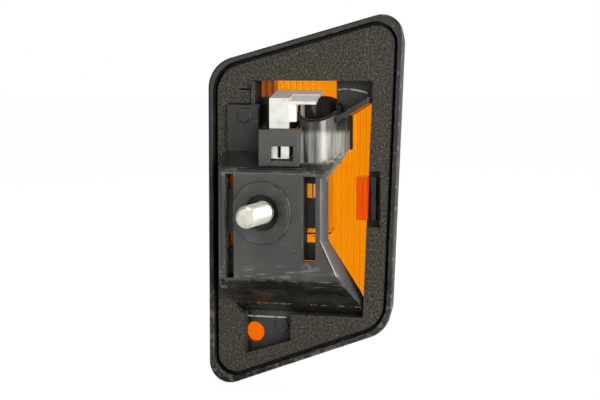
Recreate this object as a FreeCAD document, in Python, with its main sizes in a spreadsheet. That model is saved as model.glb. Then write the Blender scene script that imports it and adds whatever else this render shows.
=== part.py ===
import FreeCAD, Part
import os
import re

import Sketcher

# Vehicle indicator lamp, modelled as it is fixed: +Z is up, +Y points out of the vehicle towards
# the lens, and +X is to the right when the lamp is seen from behind. The origin is on the stud's
# axis, on the face of the boss that meets the vehicle's bracket. Lengths in mm, angles in degrees.
SIZES = {
    # Four-sided outline of the rim: reach of each side from the stud's axis, and its slant
    "left_reach": 18.4,
    "right_reach": 35.2,
    "top_reach": 45.1,
    "bottom_reach": 44.7,
    "right_lean": 2.3,
    "top_slope": 15.4,
    "bottom_slope": 20.5,
    "obtuse_radius": 9.0,
    "acute_radius": 6.0,
    "least_radius": 0.8,
    # Rim and tray
    "seat_to_gasket": 10.0,
    "lip_proud": 1.0,
    "lip_width": 1.5,
    "lip_rounding": 0.5,
    "rim_draft": 10.0,
    "rim_front_depth": 3.0,
    "rim_front_wall": 1.2,
    "floor_thickness": 1.8,
    # Window of the tray
    "border_right": 8.2,
    "window_top": 35.5,
    "window_left": 4.6,
    "window_ledge": 0.8,
    "recess_right": 3.0,
    "recess_below": 4.5,
    "corner_web_left": 17.5,
    # Bracket seen from behind
    "wall": 1.8,
    "bracket_left": 12.5,
    "panel_top": 28.9,
    "panel_right": 3.5,
    "shoulder_top": 21.5,
    "shoulder_right": 21.6,
    "shoulder_bottom": 16.8,
    "waist_right": 17.2,
    "waist_top": 9.5,
    "waist_drop": 7.0,
    "foot_right": 25.4,
    "foot_clear": 16.1,
    "foot_side": 4.6,
    "foot_left": 9.3,
    "foot_corner": 6.6,
    # Bracket seen from the side
    "boss_height": 0.4,
    "plateau_top": 11.3,
    "lower_slope": 9.0,
    "panel_face": 8.5,
    "panel_bottom": 16.2,
    "right_wall_depth": 6.2,
    "bracket_rounding": 1.2,
    "plate_ease": 0.15,
    # Slots beside the stud plate
    "slot_rib": 2.0,
    "left_slot_width": 2.5,
    "left_slot_top": 10.4,
    "left_slot_drop": 18.0,
    "right_slot_width": 3.6,
    "right_slot_top": 10.0,
    "right_slot_drop": 12.8,
    # Boss, captive channel and stud
    "boss_radius": 8.4,
    "boss_hole_radius": 4.9,
    "boss_hole_depth": 1.3,
    "stud_clearance": 0.2,
    "stud_radius": 3.0,
    "shank_radius": 2.7,
    "shank_length": 1.2,
    "stud_length": 13.0,
    "stud_chamfer": 0.8,
    "head_length": 7.4,
    "head_half_height": 5.0,
    "head_thickness": 3.0,
    "head_clearance": 0.15,
    "cage_wall": 1.0,
    "cage_right": 7.2,
    "tie_half_height": 4.1,
    "tie_back": 3.3,
    "tie_thickness": 1.8,
    "slot_window_height": 3.9,
    # Connector shroud
    "shroud_left": 1.3,
    "shroud_right": 9.95,
    "shroud_back": 2.0,
    "shroud_bottom": 12.6,
    "shroud_top": 22.4,
    "shroud_wall": 1.2,
    "shroud_floor": 14.6,
    "shroud_mouth_slope": 16.0,
    "shroud_window_left": 1.9,
    "shroud_window_right": 8.4,
    "shroud_window_bottom": 14.0,
    "shroud_window_top": 18.0,
    # Bulb socket tube and the webs that carry it
    "socket_x": 13.0,
    "socket_y": 10.5,
    "socket_radius": 6.2,
    "socket_bore": 4.95,
    "socket_bottom": 13.0,
    "socket_mouth": 24.5,
    "socket_mouth_slope": 28.5,
    "bayonet_slot": 2.2,
    "strip_width": 2.6,
    "strip_top": 26.8,
    "shelf_rise": 4.4,
    "shelf_back": 7.0,
    "shelf_thickness": 1.5,
    # Small moulded features
    "jamb_width": 1.1,
    "mark_height": 0.3,
    "panel_mark_x": 7.6,
    "panel_mark_z": 26.0,
    "panel_mark_radius": 1.9,
    "floor_mark_x": 1.8,
    "mark_below": 4.0,
    "floor_mark_radius": 1.9,
    "vent_x": 6.2,
    "vent_below": 6.1,
    "vent_radius": 2.8,
    # Gasket
    "gasket_thickness": 3.2,
    "gasket_gap": 1.1,
    "gasket_clearance": 0.3,
    "notch_margin": 1.8,
    "cutout_left": 8.2,
    "cutout_right": 5.3,
    "cutout_left_depth": 11.9,
    "cutout_right_depth": 7.6,
    "slit_length": 3.3,
    "slit_width": 0.5,
    "slit_below": 2.4,
    # Lens
    "lens_clearance": 0.15,
    "lens_wall": 2.2,
    "lens_crown": 4.0,
    "lens_dome_radius": 110.0,
    "flute_pitch": 1.75,
    "flute_height": 0.5,
    "clip_top": 9.4,
    "clip_drop": 2.3,
    "clip_thickness": 2.4,
    "clip_nose": 1.5,
    "clip_nose_height": 1.5,
    "clip_clearance": 0.15,
    "tongue_height": 3.5,
    "tongue_thickness": 1.7,
    "ledge_gap": 0.6,
    "ledge_width": 1.4,
    "ledge_height": 1.6,
    # Contact strips
    "strip_gauge": 0.8,
    "blade_left": 1.35,
    "blade_right": 6.95,
    "blade_clearance": 0.1,
    "contact_top": 30.9,
    "contact_depth": 7.4,
    "contact_slope": 15.0,
    "side_flange_width": 1.6,
    "side_flange_bottom": 24.6,
    "blade_slit_width": 1.0,
    "blade_slit_length": 3.2,
    "finger_reach": 7.6,
    "finger_width": 2.7,
    "finger_gap": 0.9,
    "front_finger_droop": 30.0,
    "earth_gauge": 0.4,
    "earth_sweep": 110.0,
    "earth_tail_width": 3.0,
    # Bulb
    "ferrule_radius": 4.5,
    "ferrule_wall": 0.35,
    "ferrule_bottom": 12.3,
    "ferrule_height": 9.5,
    "pin_radius": 0.9,
    "pin_reach": 1.2,
    "pin_rise": 4.5,
    "insulator_height": 1.0,
    "insulator_radius": 3.3,
    "tip_radius": 1.6,
    "tip_height": 0.6,
    "glass_radius": 4.4,
    "glass_wall": 0.6,
    "glass_length": 19.5,
    "neck_radius": 3.9,
    "neck_height": 5.5,
    "stem_height": 3.0,
    "lead_radius": 0.25,
    "lead_spread": 1.5,
    "filament_below": 10.5,
    "filament_radius": 0.3,
    "fit_gap": 0.05,
    # How far a cutter runs past the face it breaks through
    "overcut": 1.0,
}

# Levels and insets worked out from the sizes above
PLACES = {
    "lip_face": "seat_to_gasket - lip_proud",
    "floor_back": "seat_to_gasket + gasket_thickness",
    "floor_front": "floor_back + floor_thickness",
    "rim_front": "floor_front + rim_front_depth",
    "rim_depth": "rim_front - lip_face",
    "recess_inset": "rim_depth * tan(rim_draft * 1 deg) + rim_front_wall",
    "gasket_inset": "lip_width + gasket_gap",
    "notch_top": "clip_top + notch_margin",
    "notch_drop": "clip_drop + notch_margin",
    "notch_width": "ledge_gap + ledge_width + 4 * gasket_clearance",
    "jamb_top": "window_top - gasket_clearance",
    "window_right": "right_reach - border_right",
    "recess_top": "window_top - recess_below",
    "slit_z": "window_top - slit_below",
    "foot_drop": "bottom_reach - foot_clear",
    "foot_right_drop": "foot_drop - foot_side",
    "left_wall_drop": "foot_drop - foot_corner",
    "plateau_drop": "foot_drop - lower_slope",
    "cutout_left_drop": "foot_drop + cutout_left_depth",
    "cutout_right_drop": "foot_drop + cutout_right_depth",
    "floor_mark_z": "foot_drop + mark_below",
    "vent_z": "foot_drop + vent_below",
    "plate_front": "boss_height + wall",
    "channel_half": "head_half_height + head_clearance",
    "channel_front": "plate_front + head_thickness + 2 * head_clearance",
    "cage_half": "channel_half + cage_wall",
    "cage_front": "channel_front + cage_wall",
    "left_slot_edge": "slot_rib - bracket_left",
    "right_slot_edge": "waist_right - slot_rib",
    "shroud_inner_back": "shroud_back + shroud_wall",
    "blade_back": "shroud_inner_back + blade_clearance",
    "blade_front": "blade_back + strip_gauge",
    "clip_edge": "window_right - window_ledge - clip_drop * tan(right_lean * 1 deg) - clip_clearance",
    "lens_inset": "recess_inset + lens_clearance",
    "lens_front": "rim_front + lens_crown",
    "lens_middle": "(right_reach - left_reach) / 2",
    "dome_y": "lens_front - lens_dome_radius",
    "dome_inner": "lens_dome_radius - lens_wall",
    "socket_peak": "socket_mouth + 2 * socket_radius * tan(socket_mouth_slope * 1 deg)",
    "earth_top": "pin_z - pin_radius - 2 * head_clearance",
    "channel_right": "head_length + strip_gauge + 2 * head_clearance",
    "slot_window_outer": "tie_half_height + slot_window_height",
    "tongue_back": "tie_back + tie_thickness + clip_clearance",
    "ferrule_top": "ferrule_bottom + ferrule_height",
    "pin_z": "ferrule_bottom + pin_rise",
    "neck_top": "ferrule_bottom + neck_height",
    "glass_drop": "glass_length - ferrule_bottom",
    "filament_z": "ferrule_bottom - filament_below",
    "insulator_top": "ferrule_top + insulator_height",
    "tip_top": "insulator_top + tip_height",
    "contact_back": "blade_back + contact_depth",
    "finger_top": "contact_top + contact_depth * tan(contact_slope * 1 deg)",
}

doc = FreeCAD.newDocument("indicator_lamp")
sheet = doc.addObject("Spreadsheet::Sheet", "Sizes")


def fill_sheet():
    """Writes each driving size into the sheet, with its name as the cell's alias."""
    for row, (name, value) in enumerate(SIZES.items(), start=1):
        sheet.set(f"A{row}", name)
        sheet.set(f"B{row}", str(value))
        sheet.setAlias(f"B{row}", name)
    doc.recompute()


def linked(formula):
    """Turns a formula of size and place names into an expression on the sheet's cells."""

    def swap(match):
        word = match.group(0)
        if word in PLACES:
            return f"({linked(PLACES[word])})"
        return f"Sizes.{word}" if word in SIZES else word

    return re.sub(r"[a-z_]+", swap, str(formula))


def value(formula):
    """Gives the present value of a formula."""
    result = sheet.evalExpression(linked(formula))
    return float(getattr(result, "Value", result))


def bind(target, **formulas):
    """Binds properties of an object to formulas; a double underscore stands for a dot."""
    for name, formula in formulas.items():
        target.setExpression(name.replace("__", "."), linked(formula))


def outline(inset):
    """Corners of the four-sided outline drawn in by an inset: top left, top right, and on round."""
    left = f"({inset} - left_reach)"
    right = f"(right_reach - ({inset}) / cos(right_lean * 1 deg))"
    top = f"(top_reach - ({inset}) / cos(top_slope * 1 deg))"
    bottom = f"(({inset}) / cos(bottom_slope * 1 deg) - bottom_reach)"
    lean = "tan(right_lean * 1 deg)"
    climb = "tan(top_slope * 1 deg)"
    fall = "tan(bottom_slope * 1 deg)"
    top_right = f"(({right} + {top} * {lean}) / (1 - {climb} * {lean}))"
    bottom_right = f"(({right} + {bottom} * {lean}) / (1 - {fall} * {lean}))"
    return [
        (left, f"{top} + {left} * {climb}"),
        (top_right, f"{top} + {top_right} * {climb}"),
        (bottom_right, f"{bottom} + {bottom_right} * {fall}"),
        (left, f"{bottom} + {left} * {fall}"),
    ]


def right_edge(inset, height):
    """X of the window's leaning right edge at a height, drawn in by an inset."""
    return f"window_right - ({inset}) + ({height}) * tan(right_lean * 1 deg)"


def origin_feature(body, role):
    """Finds a body's own origin plane or axis."""
    return next(item for item in body.Origin.OriginFeatures if item.Role == role)


def new_sketch(body, name, role, level):
    """Starts a sketch parallel to an origin plane, at a level along that plane's axis."""
    sketch = body.newObject("Sketcher::SketchObject", name)
    sketch.AttachmentSupport = [(origin_feature(body, role), "")]
    sketch.MapMode = "FlatFace"
    sign = "-" if role == "XZ_Plane" else ""
    bind(sketch, AttachmentOffset__Base__z=f"{sign}({level})")
    return sketch


def pin_point(sketch, geometry, position, point):
    """Fixes a point of a sketch at two formulas."""
    for kind, formula in zip(("DistanceX", "DistanceY"), point):
        rule = Sketcher.Constraint(kind, -1, 1, geometry, position, value(formula))
        number = sketch.addConstraint(rule)
        sketch.setExpression(f"Constraints[{number}]", linked(formula))


def polygon(sketch, points):
    """Draws a closed polygon whose corners are formulas."""
    corners = [FreeCAD.Vector(value(u), value(v), 0) for u, v in points]
    first = sketch.GeometryCount
    count = len(corners)
    for index, corner in enumerate(corners):
        sketch.addGeometry(Part.LineSegment(corner, corners[(index + 1) % count]), False)
    for index in range(count):
        following = first + (index + 1) % count
        sketch.addConstraint(Sketcher.Constraint("Coincident", first + index, 2, following, 1))
    for index, point in enumerate(points):
        pin_point(sketch, first + index, 1, point)


def circle(sketch, centre, radius):
    """Draws a circle whose centre and radius are formulas."""
    middle = FreeCAD.Vector(value(centre[0]), value(centre[1]), 0)
    shape = Part.Circle(middle, FreeCAD.Vector(0, 0, 1), value(radius))
    number = sketch.addGeometry(shape, False)
    pin_point(sketch, number, 3, centre)
    rule = sketch.addConstraint(Sketcher.Constraint("Radius", number, value(radius)))
    sketch.setExpression(f"Constraints[{rule}]", linked(radius))


def sweep(body, kind, name, role, points, start, end):
    """Pads or pockets a polygon between two levels along its plane's axis."""
    sketch = new_sketch(body, name + "_sketch", role, start)
    polygon(sketch, points)
    feature = body.newObject("PartDesign::" + kind, name)
    feature.Profile = sketch
    bind(feature, Length=f"({end}) - ({start})")
    feature.Reversed = (kind == "Pad") == (role == "XZ_Plane")
    before = body.Shape.Volume if kind == "Pocket" else 0.0
    doc.recompute()
    if kind == "Pocket" and body.Shape.Volume > before - 1e-3:
        raise RuntimeError(f"{name} cuts nothing")
    return feature


def round_edges(body, name, edges, radius):
    """Rounds the named edges of a body's last feature."""
    fillet = body.newObject("PartDesign::Fillet", name)
    fillet.Base = (body.Tip if body.Tip != fillet else fillet.BaseFeature, edges)
    bind(fillet, Radius=radius)
    doc.recompute()
    return fillet


def edge_names(shape, chosen):
    """Names the edges of a shape that a test picks."""
    return [f"Edge{n}" for n, edge in enumerate(shape.Edges, start=1) if chosen(edge)]


def runs_along_y(edge):
    """Tells whether a straight edge runs mostly from back to front."""
    if len(edge.Vertexes) != 2:
        return False
    way = edge.Vertexes[1].Point - edge.Vertexes[0].Point
    return abs(way.y) > 0.8 * way.Length


def round_outline(body, name, inset, less, low, high):
    """Rounds the four upright corners of an outline, wide radii at the obtuse ones."""
    spots = [(value(x), value(z)) for x, z in outline(inset)]
    for part, corners, radius in (
        ("obtuse", (0, 2), "obtuse_radius"),
        ("acute", (1, 3), "acute_radius"),
    ):

        def chosen(edge):
            if not runs_along_y(edge):
                return False
            middle = edge.CenterOfMass
            if not value(low) - 0.01 < middle.y < value(high) + 0.01:
                return False
            return any(
                abs(middle.x - spots[c][0]) + abs(middle.z - spots[c][1]) < 0.6 for c in corners
            )

        names = edge_names(body.Tip.Shape, chosen)
        if len(names) != 2:
            raise RuntimeError(f"{name} {part} found {names}")
        round_edges(body, f"{name}_{part}", names, f"max({radius} - ({less}); least_radius)")


def outline_slab(name, inset, less, low, high):
    """Makes a plate with the lamp's rounded outline between two levels."""
    body = doc.addObject("PartDesign::Body", name)
    sweep(body, "Pad", name + "_pad", "XZ_Plane", outline(inset), low, high)
    round_outline(body, name, inset, less, low, high)
    return body


def prism(name, role, points, start, end):
    """Makes a body that is one padded polygon."""
    body = doc.addObject("PartDesign::Body", name)
    sweep(body, "Pad", name + "_pad", role, points, start, end)
    return body


def block(name, across, deep, tall):
    """Makes a box from its low and high places along X, Y and Z."""
    box = doc.addObject("Part::Box", name)
    for side, place, (low, high) in zip(
        ("Length", "Width", "Height"), "xyz", (across, deep, tall)
    ):
        bind(box, **{side: f"({high}) - ({low})", f"Placement__Base__{place}": low})
    return box


def upright_rod(name, x, y, radius, low, high):
    """Makes a cylinder whose axis is vertical."""
    rod = doc.addObject("Part::Cylinder", name)
    bind(rod, Radius=radius, Height=f"({high}) - ({low})")
    bind(rod, Placement__Base__x=x, Placement__Base__y=y, Placement__Base__z=low)
    return rod


def level_rod(name, x, z, radius, low, high):
    """Makes a cylinder whose axis runs from back to front."""
    rod = doc.addObject("Part::Cylinder", name)
    rod.Placement.Rotation = FreeCAD.Rotation(FreeCAD.Vector(1, 0, 0), -90)
    bind(rod, Radius=radius, Height=f"({high}) - ({low})")
    bind(rod, Placement__Base__x=x, Placement__Base__y=low, Placement__Base__z=z)
    return rod


def fuse(name, shapes):
    """Joins shapes one after another; the last union carries the name."""
    joined = shapes[0]
    for index, shape in enumerate(shapes[1:], start=2):
        union = doc.addObject("Part::Fuse", name if index == len(shapes) else f"{name}_{index}")
        union.Base = joined
        union.Tool = shape
        union.Refine = index == len(shapes)
        joined = union
    return joined


def cut(name, base, tool):
    """Takes one shape out of another."""
    result = doc.addObject("Part::Cut", name)
    result.Base = base
    result.Tool = tool
    result.Refine = True
    return result


def common(name, first, second):
    """Keeps what two shapes share."""
    result = doc.addObject("Part::MultiCommon", name)
    result.Shapes = [first, second]
    return result


def revolved(name, points, x, y):
    """Turns a profile of radius and height pairs about an upright axis at x, y."""
    body = doc.addObject("PartDesign::Body", name)
    sketch = new_sketch(body, name + "_sketch", "XZ_Plane", "0")
    polygon(sketch, points)
    turn = body.newObject("PartDesign::Revolution", name + "_turn")
    turn.Profile = sketch
    turn.ReferenceAxis = (sketch, ["V_Axis"])
    turn.Angle = 360
    bind(body, Placement__Base__x=x, Placement__Base__y=y)
    doc.recompute()
    return body


def tray():
    """Drafted rim with its lip, the floor, the lens recess and the floor's window."""
    body = doc.addObject("PartDesign::Body", "rim_body")
    rim = sweep(body, "Pad", "rim", "XZ_Plane", outline("0"), "lip_face", "rim_front")
    bind(rim, TaperAngle="-rim_draft")
    doc.recompute()
    middle = "rim_depth / 2 * tan(rim_draft * 1 deg)"
    round_outline(body, "rim", middle, "0", "lip_face", "rim_front")
    back = value("lip_face")
    front = value("rim_front")
    names = edge_names(
        body.Tip.Shape,
        lambda edge: all(abs(v.Y - back) < 1e-4 for v in edge.Vertexes)
        or all(abs(v.Y - front) < 1e-4 for v in edge.Vertexes),
    )
    round_edges(body, "rim_edges", names, "lip_rounding")
    web_left = "strip_top - shelf_thickness"
    web_right = f"{web_left} + shelf_rise"
    window = [
        ("wall - foot_left", "wall - foot_drop"),
        ("wall - bracket_left", "-left_wall_drop"),
        ("wall - bracket_left", "panel_top - wall"),
        ("-panel_right - wall", "panel_top - wall"),
        ("-panel_right - wall", "shoulder_top - wall"),
        ("recess_right", "shoulder_top - wall"),
        ("recess_right", "recess_top"),
        ("-window_left", "recess_top"),
        ("-window_left", "window_top"),
        ("corner_web_left", "window_top"),
        ("corner_web_left", web_left),
        (right_edge("window_ledge", web_right), web_right),
        (right_edge("window_ledge", "wall - foot_drop"), "wall - foot_drop"),
    ]
    hollows = [
        outline_slab("gasket_seat", "lip_width", "0", "lip_face - overcut", "floor_back"),
        outline_slab("lens_recess", "recess_inset", "rim_front_wall", "floor_front",
                     "rim_front + overcut"),
        prism("floor_window", "XZ_Plane", window, "floor_back - overcut", "floor_front + overcut"),
    ]
    return cut("tray", body, fuse("tray_hollows", hollows))


def bracket():
    """Raised hat: stud plate, sloped end walls, shoulder and panel, shelled from the front."""
    plan = [
        ("-foot_left", "-foot_drop"),
        ("-bracket_left", "-left_wall_drop"),
        ("-bracket_left", "panel_top"),
        ("-panel_right", "panel_top"),
        ("-panel_right", "shoulder_top"),
        ("shoulder_right", "shoulder_top"),
        ("shoulder_right", "shoulder_bottom"),
        ("waist_right", "waist_top"),
        ("waist_right", "-waist_drop"),
        ("foot_right", "-foot_right_drop"),
        ("foot_right", "-foot_drop"),
    ]
    body = doc.addObject("PartDesign::Body", "bracket")
    sweep(body, "Pad", "hat", "XZ_Plane", plan, "boss_height", "floor_back")
    upper = [
        ("boss_height", "plateau_top"),
        ("panel_face", "panel_bottom"),
        ("panel_face", "panel_top + overcut"),
        ("boss_height - overcut", "panel_top + overcut"),
        ("boss_height - overcut", "plateau_top"),
    ]
    ease = "plate_ease * lower_slope"
    lower = [
        ("boss_height", f"{ease} - plateau_drop"),
        ("boss_height + plate_ease * (floor_back - boss_height)", f"-plateau_drop - {ease}"),
        ("floor_back", "-foot_drop"),
        ("floor_back", "-foot_drop - overcut"),
        ("boss_height - overcut", "-foot_drop - overcut"),
        ("boss_height - overcut", f"{ease} - plateau_drop"),
    ]
    left = "-bracket_left - overcut"
    right = "foot_right + overcut"
    sweep(body, "Pocket", "upper_slope", "YZ_Plane", upper, left, right)
    sweep(body, "Pocket", "lower_slope", "YZ_Plane", lower, left, right)
    shape = body.Tip.Shape
    level = value("floor_back")
    open_faces = [
        f"Face{n}"
        for n, face in enumerate(shape.Faces, start=1)
        if abs(face.CenterOfMass.y - level) < 1e-4 and face.BoundBox.YLength < 1e-4
    ]
    shell = body.newObject("PartDesign::Thickness", "shell")
    shell.Base = (body.Tip if body.Tip != shell else shell.BaseFeature, open_faces)
    shell.Mode = "Skin"
    shell.Join = "Intersection"
    shell.Reversed = True
    bind(shell, Value="wall")
    doc.recompute()
    clear_below = [
        ("right_wall_depth", "waist_top"),
        ("right_wall_depth", "-waist_drop - overcut"),
        ("floor_back + overcut", "-foot_right_drop"),
        ("floor_back + overcut", "shoulder_top - wall"),
        ("panel_face + wall", "shoulder_top - wall"),
        ("panel_face + wall", "panel_bottom - wall"),
    ]
    inside = "waist_right - wall - fit_gap"
    sweep(body, "Pocket", "right_gap", "YZ_Plane", clear_below, inside, right)
    plate = value("boss_height")
    names = edge_names(
        body.Tip.Shape,
        lambda edge: all(abs(v.Y - plate) < 1e-4 for v in edge.Vertexes),
    )
    round_edges(body, "bracket_edges", names, "bracket_rounding")
    return body


def shroud():
    """Connector shroud: a box open at a slanted mouth, with a window in its back wall."""
    body = doc.addObject("PartDesign::Body", "shroud")
    front = "panel_face + wall / 2"
    across = [
        ("-shroud_left", "shroud_back"),
        ("shroud_right", "shroud_back"),
        ("shroud_right", front),
        ("-shroud_left", front),
    ]
    peak = "shroud_top + (panel_face - shroud_back) * tan(shroud_mouth_slope * 1 deg)"
    sweep(body, "Pad", "sleeve", "XY_Plane", across, "shroud_bottom", peak)
    inner = [
        ("shroud_wall - shroud_left", "shroud_inner_back"),
        ("shroud_right - shroud_wall", "shroud_inner_back"),
        ("shroud_right - shroud_wall", "panel_face"),
        ("shroud_wall - shroud_left", "panel_face"),
    ]
    sweep(body, "Pocket", "hollow", "XY_Plane", inner, "shroud_floor", f"{peak} + overcut")
    mouth = [
        ("shroud_back - overcut", "shroud_top - tan(shroud_mouth_slope * 1 deg)"),
        ("panel_face + wall", f"{peak} + wall * tan(shroud_mouth_slope * 1 deg)"),
        ("panel_face + wall", f"{peak} + 2 * wall"),
        ("shroud_back - overcut", f"{peak} + 2 * wall"),
    ]
    sweep(body, "Pocket", "mouth", "YZ_Plane", mouth, "-shroud_left - overcut", "shroud_right + overcut")
    opening = [
        ("shroud_window_left", "shroud_window_bottom"),
        ("shroud_window_right", "shroud_window_bottom"),
        ("shroud_window_right", "shroud_window_top"),
        ("shroud_window_left", "shroud_window_top"),
    ]
    sweep(body, "Pocket", "shroud_window", "XZ_Plane", opening, "shroud_back - overcut",
          "shroud_inner_back + blade_clearance")
    return body


def socket():
    """Bulb socket tube with a slanted mouth."""
    body = doc.addObject("PartDesign::Body", "socket")
    sketch = new_sketch(body, "socket_sketch", "XY_Plane", "socket_bottom")
    circle(sketch, ("socket_x", "socket_y"), "socket_radius")
    pad = body.newObject("PartDesign::Pad", "socket_pad")
    pad.Profile = sketch
    slope = "tan(socket_mouth_slope * 1 deg)"
    bind(pad, Length="socket_peak - socket_bottom")
    doc.recompute()
    near = "socket_y - socket_radius"
    far = "socket_y + socket_radius"
    mouth = [
        (f"{near} - overcut", f"socket_mouth - {slope}"),
        (f"{far} + overcut", f"socket_peak + {slope}"),
        (f"{far} + overcut", "socket_peak + 2 * overcut"),
        (f"{near} - overcut", "socket_peak + 2 * overcut"),
    ]
    left = "socket_x - socket_radius - overcut"
    right = "socket_x + socket_radius + overcut"
    sweep(body, "Pocket", "socket_mouth_cut", "YZ_Plane", mouth, left, right)
    return body


def housing():
    """The black moulding: tray, bracket, shroud, socket tube and their small features."""
    low = "shoulder_right - strip_width"
    shelf = [
        (low, "strip_top - shelf_thickness - overcut"),
        (right_edge("gasket_clearance", "strip_top"), "strip_top - shelf_thickness + shelf_rise"),
        (right_edge("gasket_clearance", "strip_top"), "strip_top + shelf_rise"),
        (low, "strip_top - overcut"),
    ]
    ledge_x = right_edge("-ledge_gap", "0")
    solids = [
        tray(),
        bracket(),
        shroud(),
        socket(),
        level_rod("boss", "0", "0", "boss_radius", "0", "plate_front"),
        block("cage", ("wall / 2 - bracket_left", "cage_right"), ("plate_front", "cage_front"),
              ("-cage_half", "cage_half")),
        block("slot_floor", ("right_slot_edge - right_slot_width - wall / 2", "waist_right - wall / 2"),
              ("tie_back", "tie_back + tie_thickness"), ("-right_slot_drop", "right_slot_top")),
        block("left_slot_floor", ("wall / 2 - bracket_left", "left_slot_edge + left_slot_width + wall / 2"),
              ("tie_back", "tie_back + tie_thickness"), ("-left_slot_drop", "left_slot_top")),
        block("socket_strip", (low, "shoulder_right"), ("panel_face", "floor_front"),
              ("shoulder_bottom", "strip_top")),
        prism("shelf", "XZ_Plane", shelf, "shelf_back", "floor_front"),
        block("jamb", ("-window_left - jamb_width", "-window_left"), ("lip_face", "floor_back"),
              ("panel_top", "jamb_top")),
        block("ledge", (ledge_x, f"{ledge_x} + ledge_width"),
              ("floor_back - ledge_height", "floor_back"), ("-clip_drop", "clip_top")),
        level_rod("panel_mark", "-panel_mark_x", "panel_mark_z", "panel_mark_radius",
                  "panel_face - mark_height", "panel_face + mark_height"),
        level_rod("floor_mark", "floor_mark_x", "-floor_mark_z", "floor_mark_radius",
                  "floor_back - mark_height", "floor_back + mark_height"),
    ]
    slot_front = "plate_front + fit_gap"
    slot_across = ("right_slot_edge - right_slot_width", "right_slot_edge")
    left_across = ("left_slot_edge", "left_slot_edge + left_slot_width")
    tongue_end = "cage_half + tongue_height + 2 * clip_clearance"
    through_floor = ("tie_back - overcut", "tie_back + tie_thickness + overcut")
    cuts = [
        block("left_slot", left_across, ("boss_height - overcut", slot_front),
              ("-left_slot_drop", "left_slot_top")),
        block("upper_tongue_window", left_across, through_floor, ("cage_half", tongue_end)),
        block("lower_tongue_window", left_across, through_floor,
              (f"-({tongue_end})", "-cage_half")),
        block("right_slot", slot_across, ("boss_height - overcut", slot_front),
              ("-right_slot_drop", "right_slot_top")),
        block("upper_slot_window", slot_across, through_floor,
              ("tie_half_height", "slot_window_outer")),
        block("lower_slot_window", slot_across, through_floor,
              ("-slot_window_outer", "-tie_half_height")),
        level_rod("stud_recess", "0", "0", "boss_hole_radius", "-overcut", "boss_hole_depth"),
        level_rod("stud_hole", "0", "0", "stud_radius + stud_clearance", "-overcut",
                  "plate_front + fit_gap"),
        block("channel", ("-head_length - overcut", "channel_right"), ("plate_front", "channel_front"),
              ("-channel_half", "channel_half")),
        upright_rod("bore", "socket_x", "socket_y", "socket_bore", "waist_top - overcut",
                    "socket_peak + overcut"),
        block("bayonet_slots", ("socket_x - socket_radius - overcut", "socket_x + socket_radius + overcut"),
              ("socket_y - bayonet_slot / 2", "socket_y + bayonet_slot / 2"),
              ("pin_z - pin_radius - fit_gap", "socket_peak + overcut")),
        level_rod("vent", "-vent_x", "-vent_z", "vent_radius", "floor_back - overcut",
                  "floor_front + overcut"),
    ]
    return cut("housing", fuse("housing_solids", solids), fuse("housing_cuts", cuts))


def gasket():
    """Foam sheet with its stepped window, corner cut-out, clip notch and slit."""
    sheet_body = outline_slab("gasket_sheet", "gasket_inset", "gasket_gap", "seat_to_gasket",
                              "floor_back")
    gap = "gasket_clearance"
    left = f"-bracket_left - {gap}"
    jamb = f"-window_left - jamb_width - {gap}"
    bottom = f"-foot_drop - {gap}"
    slit_end = f"{jamb} - slit_length"
    notch = right_edge("-notch_width", "notch_top")
    window = [
        (jamb, "window_top"),
        (right_edge("0", "window_top"), "window_top"),
        (right_edge("0", "notch_top"), "notch_top"),
        (notch, "notch_top"),
        (notch, "-notch_drop"),
        (right_edge("0", "-notch_drop"), "-notch_drop"),
        (right_edge("0", bottom), bottom),
        ("cutout_right", bottom),
        ("cutout_right", "-cutout_right_drop"),
        ("-cutout_left", "-cutout_left_drop"),
        ("-cutout_left", bottom),
        (f"-foot_left - {gap}", bottom),
        (left, "-left_wall_drop"),
        (left, f"panel_top + {gap}"),
        (jamb, f"panel_top + {gap}"),
        (jamb, "slit_z - slit_width / 2"),
        (slit_end, "slit_z - slit_width / 2"),
        (slit_end, "slit_z + slit_width / 2"),
        (jamb, "slit_z + slit_width / 2"),
    ]
    opening = prism("gasket_window", "XZ_Plane", window, "seat_to_gasket - overcut", "floor_back + overcut")
    return cut("gasket", sheet_body, opening)


def flutes(bottom, top):
    """Upright prism flutes on the lens's curved inner face, turned about the dome's axis."""
    body = doc.addObject("PartDesign::Body", "flutes")
    sketch = new_sketch(body, "flute_sketch", "XY_Plane", bottom)
    span = "(right_reach + left_reach) / dome_inner * 180 / pi"
    bind(sketch, AttachmentOffset__Base__x="lens_middle", AttachmentOffset__Base__y="dome_y")
    sketch.AttachmentOffset.Rotation = FreeCAD.Rotation(FreeCAD.Vector(0, 0, 1), 1)
    bind(sketch, AttachmentOffset__Rotation__Angle=f"{span} / 2")
    ridge = [
        ("-flute_pitch / 2", "dome_inner + flute_height / 2"),
        ("-flute_pitch / 2", "dome_inner"),
        ("fit_gap", "dome_inner - flute_height"),
        ("flute_pitch / 2", "dome_inner"),
        ("flute_pitch / 2", "dome_inner + flute_height / 2"),
    ]
    polygon(sketch, ridge)
    pad = body.newObject("PartDesign::Pad", "flute")
    pad.Profile = sketch
    bind(pad, Length=f"({top}) - ({bottom})")
    doc.recompute()
    row = body.newObject("PartDesign::PolarPattern", "flute_row")
    row.Originals = [pad]
    row.Axis = (sketch, ["N_Axis"])
    row.Reversed = True
    bind(row, Angle=span, Occurrences="floor((right_reach + left_reach) / flute_pitch) + 1")
    body.Tip = row
    doc.recompute()
    return body


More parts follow.
